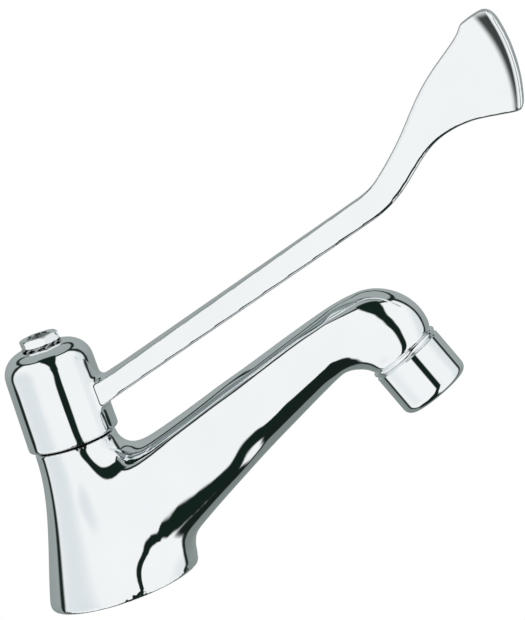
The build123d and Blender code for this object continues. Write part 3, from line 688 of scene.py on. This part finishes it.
def draw_skin_to_shape(mesh, points):
    """Move the skin's outer points onto the joined shape, and leave its inner walls alone."""
    share = free_share(points, drawn_foot, drawn_seam)
    normals = np.empty(len(points) * 3)
    mesh.vertex_normals.foreach_get("vector", normals)
    distance = joined_distance(points)
    outward = (normals.reshape(-1, 3) * joined_slope(points, distance)).sum(1)
    moving = np.flatnonzero((share > 0) & (outward > outward_least) & (distance > -deepest_fill))
    target = points[moving].copy()
    for _ in range(drawing_rounds):
        distance = joined_distance(target)
        slope = joined_slope(target, distance)
        steepness = np.maximum((slope ** 2).sum(1), slope_least)
        target -= slope * (distance / steepness)[:, None]
    points[moving] += (target - points[moving]) * share[moving, None]
    return len(moving)


drawn = draw_skin_to_shape(body_skin.data, body_points)
print("drawn to the shape:", drawn, "points")

# %% [markdown]
# Forty more rounds of smoothing take out the small steps of the remeshed faces around the root.
# They are kept to the root, since so many rounds would wear down the foot's edge. Then the skin
# rides on the tap's body and takes the place of the solid in the picture.

# %% Finish the body skin
root_start = (0, 6 * mm)
smoothed_foot, smoothed_seam = (2 * mm, 5 * mm), (46 * mm, 50 * mm)
root_rounds = 40
root_share = rise(body_points[:, 0], *root_start)
root_share *= free_share(body_points, smoothed_foot, smoothed_seam)
soften(body_skin.data, body_points, root_rounds, root_share)
set_points(body_skin.data, body_points)
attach(body_skin, "tap")
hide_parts("body_casting")
print("body skin smoothed at", int((root_share > 0).sum()), "points")

# %% [markdown]
# The lever is the second casting: a hub on the spindle, a long flat arm, and a paddle at its
# end. Its skin is made in the same way, with smaller faces, because the rim of the paddle is
# only a few millimetres wide. The hub is softened less than the arm, so that the edges round
# its nut stay crisp.

# %% Lever skin
edge_rounds, arm_rounds = 4, 26
arm_start = (16 * mm, 24 * mm)
lever_skin = fine_skin("lever", "lever_skin", 0.45 * mm)
lever_points = points_of(lever_skin.data)
soften(lever_skin.data, lever_points, edge_rounds, 1.0)
soften(lever_skin.data, lever_points, arm_rounds, rise(lever_points[:, 0], *arm_start))
set_points(lever_skin.data, lever_points)
print("lever skin softened,", len(lever_points), "points")

# %% [markdown]
# The paddle's rim. A raised rim runs round the end of the real paddle, with a shallow hollow
# behind it. It is given as a section: the half thickness over the distance from the end arc.
# A swept profile would need its own mesh and a seam to the paddle. Moving the points of the
# skin to the section has no seam, but it needs more points, so the faces there are split first.

# %% Finer faces at the paddle's end
paddle_start = 142 * mm
split_depth, split_cuts = 6 * mm, 2


def split_rim(mesh):
    """Finer faces near the paddle's end, where the rim is shaped."""
    work = bmesh.new()
    work.from_mesh(mesh)
    edges = set()
    for face in work.faces:
        x, _, z = face.calc_center_median()
        inward = rim_radius - math.hypot(x - rim_centre[0], z - rim_centre[1])
        if x > paddle_start and inward < split_depth:
            edges.update(face.edges)
    bmesh.ops.subdivide_edges(work, edges=list(edges), cuts=split_cuts, use_grid_fill=True)
    work.to_mesh(mesh)
    work.free()
    mesh.shade_smooth()


split_rim(lever_skin.data)
lever_points = points_of(lever_skin.data)
print("lever skin now has", len(lever_points), "points")

# %% [markdown]
# The paddle's tip. Its upper corner is rounded on the real lever and sharper in the solid. The
# points above a shallow arc are pressed back to it, and those under them less and less, so that
# the paddle's face stays smooth. Cutting the corner off would leave an open edge to fill.

# %% Round the tip
# The arc: a line along the tip, seen from the side, and how far the arc stands above it.
tip_start, tip_end = np.array((162.7, 144.3)) * mm, np.array((171.5, 147.3)) * mm
tip_rise, tip_depth = 0.35 * mm, 4 * mm
# The press reaches past both ends of the line, as a share of its length, and fades out there.
tip_margin, tip_step = 0.5, 0.1
tip_fade_in, tip_fade_out = (-0.3, 0.0), (1.0, 1.4)


def round_tip(points):
    """Press the tip's corner back to the arc, and what lies under it less and less."""
    flat = points[:, (0, 2)]
    run = tip_end - tip_start
    length = np.linalg.norm(run)
    along = run / length
    out = np.array((-along[1], along[0]))
    place = (flat - tip_start) @ along / length
    height = (flat - tip_start) @ out - tip_rise * np.clip(1 - (2 * place - 1) ** 2, -1, 1)
    near = (place > -tip_margin) & (place < 1 + tip_margin) & (height > -tip_depth)
    levels = np.arange(-tip_margin, 1 + tip_margin + tip_step / 2, tip_step)
    bands = [near & (np.abs(place - level) < tip_step / 2) for level in levels]
    excess = np.interp(place, levels, [height[band].max(initial=0) for band in bands])
    excess *= rise(place, *tip_fade_in) * rise(-place, -tip_fade_out[1], -tip_fade_out[0])
    press = (height + tip_depth) * excess / (tip_depth + excess) * near
    points[:, 0] -= press * out[0]
    points[:, 2] -= press * out[1]
    return press.max()


print("tip pressed by", round(round_tip(lever_points) / mm, 2), "mm")

# %% [markdown]
# The section is written as a few rows with corners. A running mean over a quarter of a
# millimetre, three times over, rounds the corners as buffing would.

# %% The rim's section
# In millimetres: distance in from the paddle's edge, half thickness.
rim_section = np.array((
    (0.0, 2.5), (0.3, 2.95), (0.7, 3.25), (1.0, 3.36), (1.5, 3.38), (1.8, 3.2), (3.0, 2.0),
    (3.4, 1.75), (4.1, 1.6), (5.5, 1.6), (9.0, 1.75), (13.0, 1.95), (18.0, 2.0),
)) * mm
paddle_half = 2.0 * mm
section_start, section_end, section_step = -2 * mm, 24 * mm, 0.02 * mm
section_spread, section_rounds = 0.25 * mm, 3


def smooth_section():
    """The section in fine rows, with its corners rounded by a running mean."""
    inward = np.arange(section_start, section_end, section_step)
    half = np.interp(inward, rim_section[:, 0], rim_section[:, 1])
    count = int(section_spread / section_step) | 1
    for _ in range(section_rounds):
        padded = np.pad(half, count // 2, mode="edge")
        half = np.convolve(padded, np.ones(count) / count, mode="valid")
    return inward, half


section = smooth_section()
print("the rim is", round(2 * section[1].max() / mm, 2), "mm thick at most")

# %% [markdown]
# Now each point near the end takes the thickness that the section has at its distance from the
# arc. The thickness that the skin has before is measured in rings round the arc, so that a
# point keeps its share of it, and the flanks of the rim stay in order. Rim and hollow fade out
# towards both ends of the arc, the hollow more slowly, since a short fade looks like a dent.

# %% Deepen the rim
rim_zone, rim_edge = 20 * mm, 1.5 * mm
rim_fade = (14 * mm, 20 * mm)
rim_blend_start = (138 * mm, 146 * mm)
ring_start, ring_end, ring_width = -0.5 * mm, 21 * mm, 0.4 * mm
# Angles along the arc, from its low end and back from its high end.
ring_margin = 0.2
rim_low_fade, rim_high_fade = (-0.01, 0.03), (0.0, 0.1)
hollow_low_fade, hollow_high_fade = (0.04, 0.22), (0.06, 0.26)
# From this share of the half thickness outwards, a point counts as lying on the face.
face_share = 0.93


def along_arc(turn, ends, low_fade, high_fade):
    """1 along the arc, fading in after its low end and out before its high end."""
    low, high = rise(turn, ends[0] + low_fade[0], ends[0] + low_fade[1]), -ends[1]
    return low * rise(-turn, high + high_fade[0], high + high_fade[1])


def half_before(inward, y, middle):
    """The half thickness that the skin has so far, in rings round the arc."""
    rings = np.arange(ring_start, ring_end, ring_width)
    ring_of = np.digitize(inward[middle], rings)
    halves = [np.abs(y[middle])[ring_of == ring].max(initial=paddle_half)
              for ring in range(1, len(rings))]
    return np.interp(inward, rings[:-1] + ring_width / 2, halves)


def deepen_rim(points):
    """Give the paddle's end the thickness of the section."""
    x, y, z = points.T
    inward = rim_radius - np.hypot(x - rim_centre[0], z - rim_centre[1])
    turn = np.arctan2(z - rim_centre[1], x - rim_centre[0])
    paddle = (x > paddle_start) & (inward < rim_zone)
    edge = paddle & (inward < rim_edge)
    ends = turn[edge].min(), turn[edge].max()
    middle = paddle & (turn > ends[0] + ring_margin) & (turn < ends[1] - ring_margin)
    old_half = half_before(inward, y, middle)
    share = np.clip(np.abs(y) / (face_share * old_half), 0, 1)
    new_half = np.interp(inward, *section)
    raised = along_arc(turn, ends, rim_low_fade, rim_high_fade)
    dipped = along_arc(turn, ends, hollow_low_fade, hollow_high_fade)
    shown = np.where(new_half > paddle_half, raised, dipped)
    new_half = paddle_half + (new_half - paddle_half) * shown
    fade = rise(x, *rim_blend_start) * rise(-inward, -rim_fade[1], -rim_fade[0])
    y += (np.sign(y) * share * new_half - y) * fade
    return ends


rim_ends = deepen_rim(lever_points)
set_points(lever_skin.data, lever_points)
print("rim from", round(rim_ends[0], 3), "to", round(rim_ends[1], 3), "radians")

# %% [markdown]
# The lever's skin rides on the body that turns, takes the place of the solid, and wears the
# chrome with the painted reflection of a dark band.

# %% Finish the lever skin
lever_skin.data.materials[0] = lever_material
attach(lever_skin, "handle")
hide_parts("lever")
print("lever skin", len(lever_skin.data.polygons), "faces")

# %% [markdown]
# The view. The camera of the picture was found by fitting the outline, and is written down as a
# turn about the tap, a height, a lean and a distance. The picture leans, so that the tap's axis
# tips to the left. The camera could be aimed with a Track To constraint, but that keeps it
# level. So its three directions are worked out and set as a matrix.

# %% View
view_turn = math.radians(10.772)
view_height = math.radians(10.365)
view_lean = math.radians(18.838)
view_distance = 1.239
pixels_per_metre = 3015.2
picture = (525, 620)
foot_in_picture = (125.66, 584.07)
sensor_width = 36.0
farthest_seen = 20.0

towards_view = Vector((math.sin(view_turn) * math.cos(view_height),
                       -math.cos(view_turn) * math.cos(view_height), math.sin(view_height)))
level_right = Vector((math.cos(view_turn), math.sin(view_turn), 0))
level_up = towards_view.cross(level_right)
right = level_right * math.cos(view_lean) - level_up * math.sin(view_lean)
up = level_right * math.sin(view_lean) + level_up * math.cos(view_lean)
shift_right = (picture[0] / 2 - foot_in_picture[0]) / pixels_per_metre
shift_up = (foot_in_picture[1] - picture[1] / 2) / pixels_per_metre
eye = towards_view * view_distance + right * shift_right + up * shift_up

camera_data = bpy.data.cameras.new("picture view")
camera_data.sensor_width = sensor_width
camera_data.lens = pixels_per_metre * view_distance * sensor_width / picture[1]
camera_data.clip_end = farthest_seen
camera = bpy.data.objects.new("picture view", camera_data)
bpy.context.scene.collection.objects.link(camera)
aim = Matrix((right, up, towards_view)).transposed().to_4x4()
camera.matrix_world = Matrix.Translation(eye) @ aim
bpy.context.scene.camera = camera
print("view", [round(v, 4) for v in eye], "lens", round(camera_data.lens, 1))

# %% [markdown]
# The studio. Chrome has almost no look of its own and shows what stands round it. For the real
# tap that was probably a tent of white cloth. Lamps and sheets could be built as objects, but
# each would also catch the camera's eye in some view. So the surroundings are worked out in the
# world, from directions alone. They are a bright tent round the front, with a dark upright gap
# beside the lens, and with dark frames where its side walls and its roof end. Behind it the
# room is grey, and straight below it is dark. First come the directions and the masks.

# %% Studio directions
world = bpy.data.worlds.new("studio")
bpy.context.scene.world = world
sky = Tree(world)
direction = sky.node("TexCoord").outputs["Generated"]
ahead = sky.dot(direction, (math.sin(view_turn), -math.cos(view_turn), 0))
aside = sky.dot(direction, (math.cos(view_turn), math.sin(view_turn), 0))
height = sky.dot(direction, upward)

# The side walls end at this turn from the view. The roof rises towards the view.
wall_turn = math.radians(112)
wall = ahead * math.sin(wall_turn) - aside.math("ABSOLUTE") * math.cos(wall_turn)
roof_slope, roof_height = 0.4, 0.87
roof = height - ahead * roof_slope - roof_height
# The gap stands to one side of the lens. It widens towards its top and its bottom, and it
# fades out where the tent turns away from the view.
gap_turn = math.radians(13.5)
gap_edge, gap_fade = (0.11, 0.18), (0.0, 0.1)
gap_top, gap_top_spread = (0.62, 0.97), 0.12
gap_bottom, gap_bottom_spread = (0.6, 0.9), 0.1
from_gap = (aside * math.cos(gap_turn) - ahead * math.sin(gap_turn)).math("ABSOLUTE")
gap_spread = height.step(*gap_top) * gap_top_spread
gap_spread += (0.0 - height).step(*gap_bottom) * gap_bottom_spread
in_gap = (1.0 - (from_gap - gap_spread).step(*gap_edge)) * ahead.step(*gap_fade)
print("studio masks from", len(sky.nodes), "nodes")

# %% [markdown]
# The colours are then laid over each other like sheets of paper, from the room at the back to
# the dark gap and the floor in front. The camera itself sees plain white, as in the picture.

# %% Studio colours
white = (1.0, 1.0, 1.0, 1.0)
frame_colour = srgb(30, 42, 37)
gap_colour = srgb(22, 36, 31)
below_colour = srgb(24, 34, 30)
# Each pair is a soft edge in its mask, from one value to another.
room_low_to_high, tent_front_to_side = (-0.8, 0.4), (0.75, 1.0)
room_to_wall_frame, wall_frame_to_tent = (-0.15, -0.06), (0.03, 0.15)
tent_to_roof_frame, roof_frame_to_room = (-0.045, -0.015), (0.02, 0.05)
below_to_tent = (-0.935, -0.89)

room = sky.mix(height.step(*room_low_to_high), srgb(128, 138, 136), srgb(166, 174, 173))
tent = sky.mix(from_gap.step(*tent_front_to_side), srgb(255, 255, 255), srgb(232, 237, 239))
behind_wall = sky.mix(wall.step(*room_to_wall_frame), room, frame_colour)
inside_wall = sky.mix(wall.step(*wall_frame_to_tent), behind_wall, tent)
over_roof = sky.mix(roof.step(*tent_to_roof_frame), inside_wall, frame_colour)
above = sky.mix(roof.step(*roof_frame_to_room), over_roof, room)
with_gap = sky.mix(in_gap, above, gap_colour)
surroundings = sky.mix(height.step(*below_to_tent), below_colour, with_gap)


def white_to_camera(tree, lit, plain):
    """One shader for all other rays, and a plain one for what the camera sees."""
    seen = tree.node("LightPath").outputs["Is Camera Ray"]
    return tree.node("MixShader", inputs={"Fac": seen, 1: lit.outputs[0], 2: plain.outputs[0]})


lamp = sky.node("Background", inputs={"Color": surroundings, "Strength": 1.0})
backdrop = sky.node("Background", inputs={"Color": white, "Strength": 1.0})
both = white_to_camera(sky, lamp, backdrop)
sky.node("OutputWorld", inputs={"Surface": both.outputs[0]})
print("studio nodes", len(sky.nodes))

# %% [markdown]
# The worktop: a plain pale plane at the level of the foot. It hides the threaded tail, as a
# real one does. To the camera it is plain white like the backdrop, so it shows no horizon and
# no shadow, as in the picture. It isn't mirrored, since the world already has what the chrome
# shows from below. A large sheet curved up at the back could also hide the horizon, but its
# edges can come into other views.

# %% Worktop
worktop_reach = 6.0
speckle_scale, speckle_detail = 20.0, 3.0
worktop_rough = 1.0
# A hair below the foot, so that the two faces don't flicker through each other.
worktop_drop = 0.2 * mm
worktop_mesh = bpy.data.meshes.new("worktop")
corners = [(-1, -1), (1, -1), (1, 1), (-1, 1)]
worktop_mesh.from_pydata([(worktop_reach * x, worktop_reach * y, 0) for x, y in corners], [],
                         [(0, 1, 2, 3)])
worktop = bpy.data.objects.new("worktop", worktop_mesh)
bpy.context.scene.collection.objects.link(worktop)
worktop.location.z = -worktop_drop
worktop_material, top = new_material("pale worktop")
speckle = top.noise(speckle_scale, speckle_detail)
paint = top.mix(speckle, srgb(240, 241, 242), srgb(246, 247, 247))
matt = top.node("BsdfPrincipled", inputs={"Base Color": paint, "Roughness": worktop_rough})
plain = top.node("Emission", inputs={"Color": white, "Strength": 1.0})
cover(top, white_to_camera(top, matt, plain))
worktop_mesh.materials.append(worktop_material)
worktop.visible_glossy = False
worktop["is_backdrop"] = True
bpy.context.scene.view_settings.view_transform = "Standard"
print("worktop", 2 * worktop_reach, "m wide,", round(worktop_drop / mm, 1), "mm below the foot")

# %% [markdown]
# Last, the size of the whole tap is measured again, and how far each corner moved since the
# first measure is printed. The skins' rounded edges take a quarter of a millimetre off it. A
# larger difference would show that a cell has moved or scaled a piece.

# %% Finish
size_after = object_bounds()
for corner_before, corner_after in zip(size_before, size_after):
    print("corner moved by", [round((b - a) / mm, 2) for a, b in zip(corner_before, corner_after)], "mm")
